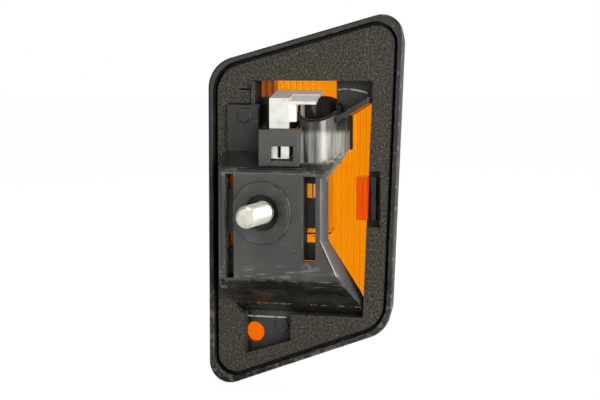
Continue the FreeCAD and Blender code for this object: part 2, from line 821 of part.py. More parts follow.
def lens():
    """Amber lens: a domed tray with fluted inner face and one snap clip."""
    tall = "top_reach + right_reach"
    deep = "-bottom_reach - left_reach"
    rounding = "rim_front_wall + lens_clearance"
    block_body = outline_slab("lens_block", "lens_inset", rounding, "floor_front", "lens_front")
    hollow = outline_slab("lens_hollow", "lens_inset + lens_wall", f"{rounding} + lens_wall",
                          "floor_front", "lens_front")
    dome = upright_rod("dome", "lens_middle", "dome_y", "lens_dome_radius", deep, tall)
    inner = upright_rod("dome_inside", "lens_middle", "dome_y", "dome_inner", deep, tall)
    shell = cut("lens_shell", common("lens_form", block_body, dome),
                common("lens_cavity", hollow, inner))
    ridges = common("lens_flutes", flutes(deep, tall), hollow)
    nose_front = "floor_back - clip_clearance"
    nose_back = f"{nose_front} - clip_nose_height"
    root = "lens_front - lens_wall / 2 - (clip_edge - lens_middle)^2 / (2 * lens_dome_radius)"
    hook = [
        ("clip_edge - clip_thickness", root),
        ("clip_edge - clip_thickness", nose_back),
        ("clip_edge", nose_back),
        ("clip_edge + clip_nose", f"{nose_front} - clip_nose_height / 3"),
        ("clip_edge + clip_nose", nose_front),
        ("clip_edge", nose_front),
        ("clip_edge", root),
    ]
    clip = prism("lens_clip", "XY_Plane", hook, "-clip_drop", "clip_top")
    tongue_left = "wall - bracket_left + clip_clearance"
    tongue_root = "lens_front - lens_wall / 2 - (tongue_thickness - bracket_left - lens_middle)^2"
    across = (tongue_left, f"{tongue_left} + tongue_thickness")
    deep_range = ("tongue_back", f"{tongue_root} / (2 * lens_dome_radius)")
    low = "cage_half + clip_clearance"
    tongues = [
        block("upper_tongue", across, deep_range, (low, f"{low} + tongue_height")),
        block("lower_tongue", across, deep_range, (f"-({low}) - tongue_height", f"-({low})")),
    ]
    return fuse("lens", [shell, ridges, clip, *tongues])


def fixing_stud():
    """M6 stud with a captive T head; the shank under the thread is thinner."""
    body = doc.addObject("PartDesign::Body", "fixing_stud")
    head = [
        ("-head_length", "-head_half_height"),
        ("head_length", "-head_half_height"),
        ("head_length", "head_half_height"),
        ("-head_length", "head_half_height"),
    ]
    sweep(body, "Pad", "stud_head", "XZ_Plane", head, "plate_front",
          "plate_front + head_thickness")
    sketch = new_sketch(body, "stud_sketch", "XY_Plane", "0")
    profile = [
        ("0", "plate_front + head_thickness / 2"),
        ("shank_radius", "plate_front + head_thickness / 2"),
        ("shank_radius", "shank_length"),
        ("stud_radius", "shank_length - stud_radius + shank_radius"),
        ("stud_radius", "stud_chamfer - stud_length"),
        ("stud_radius - stud_chamfer", "-stud_length"),
        ("0", "-stud_length"),
    ]
    polygon(sketch, profile)
    turn = body.newObject("PartDesign::Revolution", "stud_turn")
    turn.Profile = sketch
    turn.ReferenceAxis = (sketch, ["V_Axis"])
    turn.Angle = 360
    doc.recompute()
    return body


def live_contact():
    """Folded strip: blade, sloping top, side return, two fingers and an arm to the bulb's tip."""
    slope = "tan(contact_slope * 1 deg)"
    droop = "tan(front_finger_droop * 1 deg)"
    thick = "strip_gauge / cos(contact_slope * 1 deg)"
    blade = block("blade", ("blade_left", "blade_right"), ("blade_back", "blade_front"),
                  ("shroud_floor", "contact_top - strip_gauge / 2"))
    top_profile = [
        ("blade_back", f"contact_top - {thick}"),
        ("contact_back", f"finger_top - {thick}"),
        ("contact_back", "finger_top"),
        ("blade_back", "contact_top"),
    ]
    top = prism("contact_roof", "YZ_Plane", top_profile, "blade_left", "blade_right")
    edge = "blade_right + side_flange_width"
    side_profile = [
        ("blade_right - strip_gauge", "blade_back"),
        ("blade_right", "blade_back"),
        (edge, "blade_back + side_flange_width"),
        (edge, "blade_front + side_flange_width"),
        ("blade_right - strip_gauge", "blade_front"),
    ]
    side = prism("contact_side", "XY_Plane", side_profile, "side_flange_bottom",
                 "contact_top - 2 * strip_gauge")
    split = "blade_back + finger_width"
    split_top = f"(contact_top + finger_width * {slope})"
    front_profile = [
        ("blade_back", f"{split_top} - finger_width * {droop} - strip_gauge"),
        (split, f"{split_top} - strip_gauge"),
        (split, split_top),
        ("blade_back", f"{split_top} - finger_width * {droop}"),
    ]
    reach = "blade_right + finger_reach"
    root = "blade_right - strip_gauge"
    front_finger = prism("front_finger", "YZ_Plane", front_profile, root, reach)
    start = "blade_back + finger_width + finger_gap"
    start_top = f"(contact_top + (finger_width + finger_gap) * {slope})"
    back_profile = [
        (start, f"{start_top} - {thick}"),
        ("contact_back", f"finger_top - {thick}"),
        ("contact_back", "finger_top"),
        (start, start_top),
    ]
    back_finger = prism("back_finger", "YZ_Plane", back_profile, root, reach)
    drop_left = "socket_x - socket_bore + 2 * head_clearance"
    drop_deep = ("contact_back - finger_width / 2", "contact_back")
    drop = block("contact_drop", (drop_left, f"{drop_left} + strip_gauge"), drop_deep,
                 ("tip_top", f"finger_top - {thick}"))
    arm = block("contact_arm", (drop_left, "socket_x + tip_radius / 2"), drop_deep,
                ("tip_top", "tip_top + strip_gauge"))
    middle = "(blade_left + blade_right) / 2"
    slit = block("blade_slit", (f"{middle} - blade_slit_width / 2", f"{middle} + blade_slit_width / 2"),
                 ("blade_back - overcut", "blade_front + overcut"),
                 ("shroud_window_top - blade_slit_length", "shroud_window_top + blade_slit_width"))
    strip = fuse("contact_strip", [blade, top, side, front_finger, back_finger, drop, arm])
    return cut("live_contact", strip, slit)


def earth_contact():
    """Spring shell round the cap, with a tail that leads down to the stud's head."""
    outer = "socket_bore - fit_gap"
    inner = f"{outer} - earth_gauge"
    low = "socket_bottom - 2 * strip_gauge"
    ring = []
    for name, radius in (("earth_outer", outer), ("earth_inner", inner)):
        rod = upright_rod(name, "socket_x", "socket_y", radius, low, "earth_top")
        ring.append(rod)
    ring[0].Placement.Rotation = FreeCAD.Rotation(FreeCAD.Vector(0, 0, 1), 1)
    bind(ring[0], Angle="earth_sweep", Placement__Rotation__Angle="180 - earth_sweep / 2")
    shell = cut("earth_shell", ring[0], ring[1])
    side = "head_length + fit_gap"
    half = "earth_tail_width / 2"
    across = (side, f"{side} + strip_gauge")
    jog = block("earth_jog", (side, f"socket_x - {inner} - fit_gap"),
                (f"socket_y - {half}", f"socket_y + {half}"), (low, "socket_bottom - strip_gauge"))
    tail = block("earth_tail", across, (f"socket_y - {half}", f"socket_y + {half}"),
                 (f"-{half}", "socket_bottom - strip_gauge"))
    foot = block("earth_foot", across, ("plate_front + head_clearance", f"socket_y + {half}"),
                 (f"-{half}", half))
    return fuse("earth_contact", [shell, jog, tail, foot])


def bulb():
    """Clear tubular bulb with a bayonet cap, cap end up; gives its seven pieces."""
    x, y = "socket_x", "socket_y"
    cap_inner = "ferrule_radius - ferrule_wall"
    collar = "insulator_radius + fit_gap"
    cap_shell = revolved("cap_shell", [
        (cap_inner, "ferrule_bottom"),
        ("ferrule_radius", "ferrule_bottom"),
        ("ferrule_radius", "ferrule_top - ferrule_wall"),
        ("ferrule_radius - ferrule_wall", "ferrule_top"),
        (collar, "ferrule_top"),
        (collar, "ferrule_top - ferrule_wall"),
        (cap_inner, "ferrule_top - ferrule_wall - ferrule_wall"),
    ], x, y)
    pins = doc.addObject("Part::Cylinder", "pins")
    pins.Placement.Rotation = FreeCAD.Rotation(FreeCAD.Vector(0, 1, 0), 90)
    bind(pins, Radius="pin_radius", Height="2 * (ferrule_radius + pin_reach)", Placement__Base__z="pin_z",
         Placement__Base__x=f"{x} - ferrule_radius - pin_reach", Placement__Base__y=y)
    hollow = upright_rod("cap_hollow", x, y, cap_inner, "ferrule_bottom", "ferrule_top - 2 * ferrule_wall")
    cap = fuse("bulb_cap", [cap_shell, cut("pin_pair", pins, hollow)])
    inner = "glass_radius - glass_wall"
    neck_inner = "neck_radius - glass_wall"
    shoulder = "ferrule_bottom - fit_gap"
    dome = "glass_radius / 2"
    glass = revolved("bulb_glass", [
        ("neck_radius", "neck_top"),
        ("neck_radius", shoulder),
        ("glass_radius", f"{shoulder} - glass_wall"),
        ("glass_radius", f"{dome} - glass_drop"),
        ("glass_radius * 0.87", f"{dome} / 2 - glass_drop"),
        ("glass_radius * 0.5", f"{dome} / 7 - glass_drop"),
        ("0", "-glass_drop"),
        ("0", "glass_wall - glass_drop"),
        (f"({inner}) * 0.5", f"{dome} / 7 + glass_wall - glass_drop"),
        (f"({inner}) * 0.87", f"{dome} / 2 + glass_wall - glass_drop"),
        (inner, f"{dome} + glass_wall - glass_drop"),
        (inner, f"{shoulder} - 2 * glass_wall"),
        (neck_inner, f"{shoulder} - glass_wall"),
        (neck_inner, "neck_top"),
    ], x, y)
    stem_bottom = "neck_top - stem_height"
    plug = upright_rod("stem_plug", x, y, f"{neck_inner} - fit_gap", stem_bottom, "neck_top")
    lead_holes = []
    wires = []
    for side, sign in (("left", "-"), ("right", "+")):
        place = f"{x} {sign} lead_spread"
        wires.append(upright_rod(f"{side}_lead", place, y, "lead_radius", "filament_z", "neck_top"))
        lead_holes.append(upright_rod(f"{side}_hole", place, y, "lead_radius + fit_gap / 5",
                                      f"{stem_bottom} - overcut", "neck_top + overcut"))
    stem = cut("bulb_stem", plug, fuse("stem_holes", lead_holes))
    leads = fuse("bulb_leads", wires)
    coil = doc.addObject("Part::Cylinder", "bulb_filament")
    coil.Placement.Rotation = FreeCAD.Rotation(FreeCAD.Vector(0, 1, 0), 90)
    bind(coil, Radius="filament_radius", Height="2 * (lead_spread - lead_radius)",
         Placement__Base__x=f"{x} - lead_spread + lead_radius", Placement__Base__y=y,
         Placement__Base__z="filament_z + filament_radius")
    insulator = upright_rod("bulb_insulator", x, y, "insulator_radius", "neck_top + fit_gap",
                            "insulator_top")
    tip = upright_rod("bulb_tip", x, y, "tip_radius", "insulator_top", "tip_top")
    return {
        "bulb_cap": cap,
        "bulb_glass": glass,
        "bulb_stem": stem,
        "bulb_leads": leads,
        "bulb_filament": coil,
        "bulb_insulator": insulator,
        "bulb_tip": tip,
    }


def check(pieces):
    """Stops if any object failed or any piece has no valid solid."""
    for item in doc.Objects:
        if any(word in item.State for word in ("Invalid", "Error")):
            raise RuntimeError(f"{item.Name} is {item.State}")
    for name, item in pieces.items():
        shape = item.Shape
        if shape.isNull() or not shape.isValid() or not shape.Solids:
            raise RuntimeError(f"{name} has no valid solid")
        print(f"{name}: {len(shape.Solids)} solid, {shape.Volume:.1f} mm3")


def main():
    """Builds the pieces, checks them and writes one file for each."""
    fill_sheet()
    pieces = {
        "housing": housing(),
        "gasket": gasket(),
        "lens": lens(),
        "fixing_stud": fixing_stud(),
        "live_contact": live_contact(),
        "earth_contact": earth_contact(),
    }
    pieces.update(bulb())
    for name, item in pieces.items():
        item.Label = name
    doc.recompute()
    check(pieces)
    os.makedirs("parts", exist_ok=True)
    for item in pieces.values():
        item.Shape.exportStep(f"parts/{item.Label}.step")


main()
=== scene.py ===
"""Dresses the indicator lamp: finishes for its moulded and pressed pieces, the stud's thread, the
bulb's coil, two moulded beads painted pale as highlights, and a plain studio seen from behind.
Lengths are in metres."""

import logging
import math
from dataclasses import dataclass, field
from enum import Enum

import bmesh
import bpy
from mathutils import Matrix, Vector


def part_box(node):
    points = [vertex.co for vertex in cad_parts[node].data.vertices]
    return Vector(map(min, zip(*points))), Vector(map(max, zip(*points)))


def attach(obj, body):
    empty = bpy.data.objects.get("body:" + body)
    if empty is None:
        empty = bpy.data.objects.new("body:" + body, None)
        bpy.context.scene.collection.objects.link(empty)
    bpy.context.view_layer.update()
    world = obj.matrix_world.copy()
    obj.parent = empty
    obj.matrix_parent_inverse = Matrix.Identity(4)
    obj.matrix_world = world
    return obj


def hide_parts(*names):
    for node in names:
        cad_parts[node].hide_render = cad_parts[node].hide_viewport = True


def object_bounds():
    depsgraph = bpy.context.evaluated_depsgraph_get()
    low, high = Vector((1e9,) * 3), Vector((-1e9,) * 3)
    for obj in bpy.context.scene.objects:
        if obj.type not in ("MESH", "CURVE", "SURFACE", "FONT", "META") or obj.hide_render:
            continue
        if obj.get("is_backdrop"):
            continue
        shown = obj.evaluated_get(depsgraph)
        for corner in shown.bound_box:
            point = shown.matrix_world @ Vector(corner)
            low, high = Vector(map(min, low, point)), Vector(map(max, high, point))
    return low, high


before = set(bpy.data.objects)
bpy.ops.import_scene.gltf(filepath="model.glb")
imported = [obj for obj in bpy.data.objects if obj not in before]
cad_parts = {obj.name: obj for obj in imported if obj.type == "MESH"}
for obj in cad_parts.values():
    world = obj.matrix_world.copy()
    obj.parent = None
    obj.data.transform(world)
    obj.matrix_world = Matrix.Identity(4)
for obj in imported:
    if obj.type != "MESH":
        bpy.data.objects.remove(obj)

MM = 0.001
ROOT_BODY = "root"
LOG = logging.getLogger("indicator_lamp")

Colour = tuple[float, float, float]
Socket = bpy.types.NodeSocket
Fed = Socket | float | tuple


class Along(Enum):
    """Axis of the lamp's frame that a pattern or a band follows."""

    X = 0
    Y = 1
    Z = 2


class RaySort(Enum):
    """Sorts of ray that see the studio as plain white."""

    CAMERA = "Is Camera Ray"
    TRANSMISSION = "Is Transmission Ray"


def rgba(colour: Colour) -> tuple[float, float, float, float]:
    """Adds full opacity to a colour."""
    return (*colour, 1.0)


class Graph:
    """A material's node graph, built up from its shader towards its patterns."""

    def __init__(self, name: str) -> None:
        """Starts a material with one principled shader.

        Args:
            name: Name of the material.
        """
        self.material = bpy.data.materials.new(name)
        self.material.use_nodes = True
        self.tree = self.material.node_tree
        self.tree.nodes.clear()
        self.output = self.node("ShaderNodeOutputMaterial")
        self.shader = self.node("ShaderNodeBsdfPrincipled")
        self.tree.links.new(self.shader.outputs["BSDF"], self.output.inputs["Surface"])
        coordinates = self.node("ShaderNodeTexCoord")
        self.place = coordinates.outputs["Object"]
        self.axes = self.split(self.place)
        self.normals = self.split(coordinates.outputs["Normal"])

    def node(self, kind: str, **settings: object) -> bpy.types.Node:
        """Adds a node.

        Args:
            kind: Blender's name of the node's type.
            settings: Properties of the node to set.

        Returns:
            The new node.
        """
        made = self.tree.nodes.new(kind)
        for name, choice in settings.items():
            setattr(made, name, choice)
        return made

    def feed(self, socket: Socket, value: Fed) -> None:
        """Links a socket to another, or sets it to a constant.

        Args:
            socket: Input to feed.
            value: Output socket, number or colour.
        """
        if isinstance(value, bpy.types.NodeSocket):
            self.tree.links.new(value, socket)
        else:
            socket.default_value = value

    def split(self, vector: Socket) -> dict[Along, Socket]:
        """Splits a vector into its parts along the axes."""
        parts = self.node("ShaderNodeSeparateXYZ")
        self.feed(parts.inputs[0], vector)
        return {way: parts.outputs[way.value] for way in Along}

    def shade(self, **inputs: Fed) -> None:
        """Feeds inputs of the principled shader; an underscore stands for a space."""
        for name, value in inputs.items():
            self.feed(self.shader.inputs[name.replace("_", " ")], value)

    def stretched(self, stretch: Colour) -> Socket:
        """Gives coordinates squeezed along each axis.

        Args:
            stretch: Factor for each axis.

        Returns:
            The coordinates.
        """
        mapping = self.node("ShaderNodeMapping")
        self.feed(mapping.inputs["Vector"], self.place)
        self.feed(mapping.inputs["Scale"], stretch)
        return mapping.outputs["Vector"]

    def noise(self, grain: float, detail: float = 4.0, stretch: Colour = (1, 1, 1)) -> Socket:
        """Adds cloudy noise.

        Args:
            grain: Size of its patches.
            detail: Octaves of finer noise.
            stretch: Factor by which each axis is squeezed.

        Returns:
            The noise, from 0 to 1.
        """
        made = self.node("ShaderNodeTexNoise")
        self.feed(made.inputs["Vector"], self.stretched(stretch))
        self.feed(made.inputs["Scale"], 1.0 / grain)
        self.feed(made.inputs["Detail"], detail)
        return made.outputs["Fac"]

    def rings(self, grain: float) -> Socket:
        """Adds noise in rings round the stud's axis.

        Args:
            grain: Width of a ring.

        Returns:
            The noise, from 0 to 1.
        """
        made = self.node("ShaderNodeTexNoise", noise_dimensions="1D")
        self.feed(made.inputs["W"], self.from_stud())
        self.feed(made.inputs["Scale"], 1.0 / grain)
        self.feed(made.inputs["Detail"], 3.0)
        return made.outputs["Fac"]

    def from_stud(self) -> Socket:
        """Gives the distance from the stud's axis."""
        flat = self.node("ShaderNodeVectorMath", operation="LENGTH")
        self.feed(flat.inputs[0], self.stretched((1.0, 0.0, 1.0)))
        return flat.outputs["Value"]

    def cells(self, grain: float) -> Socket:
        """Adds rounded cells of a given size; gives the distance from each cell's middle."""
        made = self.node("ShaderNodeTexVoronoi")
        self.feed(made.inputs["Vector"], self.place)
        self.feed(made.inputs["Scale"], 1.0 / grain)
        return made.outputs["Distance"]

    def ramp(self, value: Fed, low: float, high: float, start: float = 0.0,
             end: float = 1.0) -> Socket:
        """Maps a value smoothly from one span to another.

        Args:
            value: Value to map.
            low: Where the result is start.
            high: Where the result is end.
            start: Result at low and before.
            end: Result at high and beyond.

        Returns:
            The mapped value.
        """
        made = self.node("ShaderNodeMapRange", interpolation_type="SMOOTHSTEP")
        for name, part in zip(("Value", "From Min", "From Max", "To Min", "To Max"),
                              (value, low, high, start, end)):
            self.feed(made.inputs[name], part)
        return made.outputs["Result"]

    def band(self, way: Along, low: float, high: float, soft: float) -> Socket:
        """Masks a band between two levels along an axis, with soft edges.

        Args:
            way: Axis the band is measured along.
            low: Level where it starts.
            high: Level where it ends.
            soft: Width of its edges.

        Returns:
            The mask, 1 inside the band.
        """
        rise = self.ramp(self.axes[way], low - soft, low + soft)
        fall = self.ramp(self.axes[way], high - soft, high + soft, 1.0, 0.0)
        return self.both(rise, fall)

    def stripes(self, way: Along, start: float, pitch: float, width: float) -> Socket:
        """Masks thin lines that repeat along an axis.

        Args:
            way: Axis across the lines.
            start: Where a line lies.
            pitch: Distance from line to line.
            width: Width of a line.

        Returns:
            The mask, 1 in the middle of a line.
        """
        offset = self.sum_of("SUBTRACT", self.axes[way], start, False)
        off_line = self.sum_of("PINGPONG", offset, pitch / 2, False)
        return self.ramp(off_line, 0.0, width / 2, 1.0, 0.0)

    def sum_of(self, operation: str, first: Fed, second: Fed, clamp: bool = True) -> Socket:
        """Joins two values.

        Args:
            operation: Operation such as MULTIPLY, SUBTRACT or MAXIMUM.
            first: First value.
            second: Second value.
            clamp: Whether the result is kept from 0 to 1.

        Returns:
            The result.
        """
        made = self.node("ShaderNodeMath", operation=operation, use_clamp=clamp)
        self.feed(made.inputs[0], first)
        self.feed(made.inputs[1], second)
        return made.outputs[0]

    def both(self, first: Fed, second: Fed) -> Socket:
        """Multiplies two masks."""
        return self.sum_of("MULTIPLY", first, second)

    def either(self, first: Fed, second: Fed) -> Socket:
        """Keeps the stronger of two masks."""
        return self.sum_of("MAXIMUM", first, second)

    def blend(self, share: Fed, first: Fed, second: Fed) -> Socket:
        """Mixes two colours.

        Args:
            share: Share of the second colour.
            first: Colour where the share is 0.
            second: Colour where the share is 1.

        Returns:
            The mixed colour.
        """
        made = self.node("ShaderNodeMix", data_type="RGBA")
        inputs = {item.identifier: item for item in made.inputs}
        self.feed(inputs["Factor_Float"], share)
        self.feed(inputs["A_Color"], first)
        self.feed(inputs["B_Color"], second)
        return next(item for item in made.outputs if item.identifier == "Result_Color")

    def rounded(self, radius: Fed) -> Socket:
        """Gives the normal of the surface with its sharp edges rounded to a radius."""
        made = self.node("ShaderNodeBevel", samples=8)
        self.feed(made.inputs["Radius"], radius)
        return made.outputs["Normal"]

    def edges(self, radius: float) -> Socket:
        """Masks the surface next to sharp edges.

        Args:
            radius: Width of the masked strip.

        Returns:
            The mask, 1 at an edge.
        """
        turn = self.node("ShaderNodeVectorMath", operation="DOT_PRODUCT")
        self.feed(turn.inputs[0], self.rounded(radius))
        self.feed(turn.inputs[1], self.node("ShaderNodeNewGeometry").outputs["Normal"])
        return self.ramp(turn.outputs["Value"], 0.8, 0.985, 1.0, 0.0)

    def openness(self, reach: float) -> Socket:
        """Tells how open the surface lies, 1 in the open and less in recesses.

        Args:
            reach: How far away walls still count.

        Returns:
            The openness.
        """
        made = self.node("ShaderNodeAmbientOcclusion", samples=6)
        self.feed(made.inputs["Distance"], reach)
        return made.outputs["AO"]

    def bump(self, height: Socket, depth: float, strength: float,
             under: Socket | None = None) -> Socket:
        """Adds a relief.

        Args:
            height: Height of the relief, from 0 to 1.
            depth: Real height of a full step.
            strength: How strongly it shows.
            under: Coarser relief that it lies on.

        Returns:
            The bent normal.
        """
        made = self.node("ShaderNodeBump")
        self.feed(made.inputs["Height"], height)
        self.feed(made.inputs["Distance"], depth)
        self.feed(made.inputs["Strength"], strength)
        if under is not None:
            self.feed(made.inputs["Normal"], under)
        return made.outputs["Normal"]


@dataclass(frozen=True)
class HousingPlastic:
    """Black moulding: patchy gloss that fades in recesses as painted shade, matt side walls whose
    right-facing faces are painted a lighter grey as painted light, fine scratches, grey wear, pale
    streaks on the socket that are partly a painted highlight, and painted glints at the slot ends.
    """

    lip_level: float
    panel_level: float
    plate_level: float
    plate_bottom: float
    plate_top: float
    socket: Vector
    socket_reach: float
    black: Colour = (0.016, 0.016, 0.015)
    bloom: Colour = (0.032, 0.032, 0.03)
    wear_and_painted_light: Colour = (0.24, 0.235, 0.22)
    drawn: Colour = (0.5, 0.49, 0.46)
    edge_radius: float = 0.3 * MM
    plate_radius: float = 1.6 * MM
    recess_reach: float = 14 * MM
    side_painted_light: float = 0.3
    slot_ends: tuple[tuple[float, float], ...] = (
        (13.8 * MM, 10.8 * MM), (13.8 * MM, -14.2 * MM),
        (-9.2 * MM, 10.8 * MM), (-9.2 * MM, -17.2 * MM))
    slot_end_width: float = 2.2 * MM
    slot_end_height: float = 1.1 * MM

    def material(self) -> bpy.types.Material:
        """Builds the finish."""
        graph = Graph("housing_plastic")
        patches = graph.noise(9 * MM, 5.0)
        colour = graph.blend(graph.ramp(patches, 0.42, 0.75), rgba(self.black), rgba(self.bloom))
        scratches = self.scratches(graph)
        wear_and_glints = self.lip_wear(graph)
        # The slot ends' pale specks are painted glints, a painted highlight; the other marks are
        # real wear.
        for wear in (self.plate_wear, self.edge_wear, self.washer_marks, self.slot_glints):
            wear_and_glints = graph.either(wear_and_glints, wear(graph))
        colour = graph.blend(graph.both(scratches, 0.35), colour, rgba(self.wear_and_painted_light))
        # Pale streaks on the socket: partly mould streaks, partly a painted highlight.
        colour = graph.blend(graph.both(self.streaks_and_highlight(graph), 0.8), colour, rgba(self.drawn))
        colour = graph.blend(wear_and_glints, colour, rgba(self.wear_and_painted_light))
        # Faces turned to the right, in front of the lip, are painted a lighter grey: painted light,
        # not a colour of the moulding.
        side = graph.ramp(graph.normals[Along.X], 0.5, 0.85)
        raised = graph.ramp(graph.axes[Along.Y], self.lip_level - MM, self.lip_level,
                            self.side_painted_light, 0.0)
        colour = graph.blend(graph.both(side, raised), colour, rgba(self.wear_and_painted_light))
        rough = graph.ramp(patches, 0.3, 0.7, 0.15, 0.3)
        rough = graph.either(rough, graph.both(graph.either(scratches, wear_and_glints), 0.6))
        rough = graph.either(rough, graph.both(side, 0.68))
        waves = graph.bump(graph.noise(4 * MM, 2.0), 0.08 * MM, 0.5, self.soft_edges(graph))
        grain = graph.bump(graph.noise(0.25 * MM, 3.0), 0.02 * MM, 0.5, waves)
        # Gloss fades in recesses found by ambient occlusion: painted shade.
        gloss = graph.ramp(graph.openness(self.recess_reach), 0.5, 1.0, 0.1, 1.0)
        gloss = graph.both(gloss, self.set_back(graph))
        graph.shade(Base_Color=colour, Roughness=rough, Normal=grain, Specular_IOR_Level=gloss)
        return graph.material

    def scratches(self, graph: Graph) -> Socket:
        """Masks thin scuffs that cross each other."""
        first = graph.noise(7 * MM, 6.0, (1.0, 3.0, 14.0))
        second = graph.noise(6 * MM, 6.0, (16.0, 3.0, 1.0))
        lines = graph.either(graph.ramp(first, 0.66, 0.70), graph.ramp(second, 0.67, 0.71))
        return graph.both(lines, graph.ramp(graph.noise(12 * MM), 0.5, 0.62))

    def soft_edges(self, graph: Graph) -> Socket:
        """Gives the normals with rounded edges, roundest along the bottom of the stud plate."""
        near = graph.band(Along.Z, self.plate_bottom - 2 * MM, self.plate_bottom + 2 * MM, MM)
        eased = graph.rounded(graph.ramp(near, 0.0, 1.0, self.edge_radius, self.plate_radius))
        wander = graph.ramp(graph.noise(9 * MM, 2.0), 0.3, 0.7, -MM, MM)
        level = graph.sum_of("ADD", graph.axes[Along.Z], wander, clamp=False)
        fall = graph.ramp(level, self.plate_bottom - 4 * MM, self.plate_bottom + 3 * MM)
        return graph.bump(fall, 4 * MM, 1.0, eased)

    def set_back(self, graph: Graph) -> Socket:
        """Dulls the faces at the lip's level, which keep the mould's matt grain."""
        level = graph.band(Along.Y, self.panel_level - 1.8 * MM, self.lip_level + 3 * MM, 0.1 * MM)
        faces = graph.both(level, graph.ramp(graph.normals[Along.Y], -0.9, -0.5, 1.0, 0.0))
        return graph.ramp(faces, 0.0, 1.0, 1.0, 0.4)

    def edge_wear(self, graph: Graph) -> Socket:
        """Masks short scuffed stretches of the sharp edges."""
        stretches = graph.ramp(graph.noise(2.2 * MM, 6.0), 0.5, 0.64)
        return graph.both(graph.edges(self.edge_radius), graph.both(stretches, 0.8))

    def streaks_and_highlight(self, graph: Graph) -> Socket:
        """Masks pale upright streaks on the bulb socket and its web: partly streaks the mould left,
        partly a painted highlight that brightens the socket.
        """
        reach = self.socket_reach
        zone = graph.band(Along.X, self.socket.x - reach, self.socket.x + 1.8 * reach, 0.2 * MM)
        zone = graph.both(zone, graph.band(Along.Y, self.socket.y - reach, self.socket.y + MM, MM))
        zone = graph.both(zone, graph.band(Along.Z, self.socket.z - 2 * reach, self.socket.z, MM))
        streaks = graph.ramp(graph.noise(1.1 * MM, 5.0, (1.0, 1.0, 0.05)), 0.28, 0.6)
        return graph.both(zone, streaks)

    def lip_wear(self, graph: Graph) -> Socket:
        """Masks the nicked edge of the rim's lip, most of all along its bottom."""
        edge = graph.band(Along.Y, self.lip_level + 0.08 * MM, self.lip_level + 0.5 * MM, 0.08 * MM)
        lower = graph.ramp(graph.axes[Along.Z], -14 * MM, -34 * MM, 0.0, 0.14)
        nicks = graph.sum_of("ADD", graph.noise(1.2 * MM, 8.0), lower)
        shoulder = graph.both(edge, graph.both(graph.ramp(nicks, 0.54, 0.68), 0.8))
        face = graph.band(Along.Y, self.lip_level - 0.1 * MM, self.lip_level + 0.1 * MM, 0.05 * MM)
        spots = graph.both(graph.ramp(nicks, 0.64, 0.74), 0.3)
        return graph.either(shoulder, graph.both(face, spots))

    def washer_marks(self, graph: Graph) -> Socket:
        """Masks the arcs that a turning washer scraped round the stud."""
        depth = graph.ramp(graph.axes[Along.Y], self.plate_level + 0.1 * MM,
                           self.plate_level + 0.3 * MM, 1.0, 0.0)
        out = graph.from_stud()
        zone = graph.both(graph.ramp(out, 5.4 * MM, 6.0 * MM),
                          graph.ramp(out, 8.8 * MM, 9.6 * MM, 1.0, 0.0))
        arcs = graph.ramp(graph.rings(0.3 * MM), 0.56, 0.68)
        arcs = graph.both(arcs, graph.ramp(graph.noise(5 * MM, 4.0), 0.48, 0.62))
        return graph.both(graph.both(depth, zone), graph.both(arcs, 0.4))

    def slot_glints(self, graph: Graph) -> Socket:
        """Masks pale specks at the ends of the stud plate's slots: painted glints, a painted
        highlight.
        """
        glints = graph.ramp(graph.noise(1.6 * MM, 9.0), 0.46, 0.68)
        zone: Fed = 0.0
        for across, height in self.slot_ends:
            wide = graph.band(Along.X, across - self.slot_end_width, across + self.slot_end_width,
                              0.8 * MM)
            tall = graph.band(Along.Z, height - self.slot_end_height,
                              height + self.slot_end_height, 0.7 * MM)
            zone = graph.either(zone, graph.both(wide, tall))
        return graph.both(graph.both(self.on_plate(graph), glints), graph.both(zone, 0.55))

    def on_plate(self, graph: Graph) -> Socket:
        """Masks the outer skin of the stud plate."""
        return graph.band(Along.Y, self.plate_level - MM, self.plate_level + 1.4 * MM, 0.3 * MM)

    def plate_wear(self, graph: Graph) -> Socket:
        """Masks the scuffed bottom and top edges of the stud plate."""
        low = graph.band(Along.Z, self.plate_bottom - MM, self.plate_bottom + 5 * MM, 1.5 * MM)
        high = graph.band(Along.Z, self.plate_top - MM, self.plate_top + MM, 0.6 * MM)
        edges = graph.both(self.on_plate(graph), graph.either(low, high))
        scuffs = graph.ramp(graph.noise(1.3 * MM, 9.0, (0.3, 1.0, 1.8)), 0.54, 0.67)
        return graph.both(edges, graph.both(scuffs, 0.45))


@dataclass(frozen=True)
class PaintedHighlightPlastic:
    """Black plastic painted pale along its length as a painted highlight, broken by darker gaps."""

    pale: Colour = (0.42, 0.41, 0.38)
    dark: Colour = (0.06, 0.06, 0.055)

    def material(self) -> bpy.types.Material:
        """Builds the finish."""
        graph = Graph("bead_painted_highlight")
        highlight_breaks = graph.ramp(graph.noise(1.5 * MM, 5.0), 0.5, 0.66)
        colour = graph.blend(highlight_breaks, rgba(self.pale), rgba(self.dark))
        relief = graph.bump(graph.noise(0.3 * MM, 3.0), 0.02 * MM, 0.4)
        graph.shade(Base_Color=colour, Roughness=graph.ramp(highlight_breaks, 0.0, 1.0, 0.3, 0.5),
                    Normal=relief)
        return graph.material


